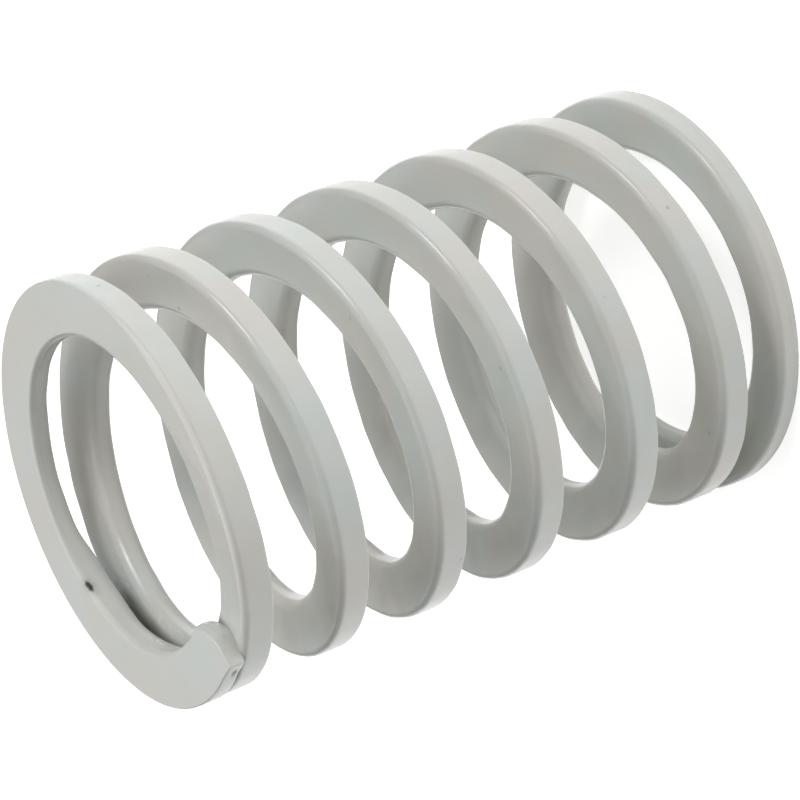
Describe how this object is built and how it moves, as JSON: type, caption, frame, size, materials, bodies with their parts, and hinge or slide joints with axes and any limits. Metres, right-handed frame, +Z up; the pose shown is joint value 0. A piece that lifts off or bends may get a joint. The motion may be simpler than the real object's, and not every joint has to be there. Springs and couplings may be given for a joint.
{
  "type": "die spring",
  "caption": "Right-hand compression spring coiled from rectangular wire, enamelled light grey, with both ends closed and ground flat.",
  "frame": {"origin": "centre of the lower ground seat, on the coil's axis", "axes": "+Z up the coil's axis, the wire's lower tip is 18 degrees round from +X toward +Y; the coil is right-handed"},
  "size_m": [0.032, 0.032, 0.05],
  "materials": {
    "spring_enamel": "satin"
  },
  "bodies": {
    "root": {"die_spring": "spring_enamel"}
  },
  "joints": []
}
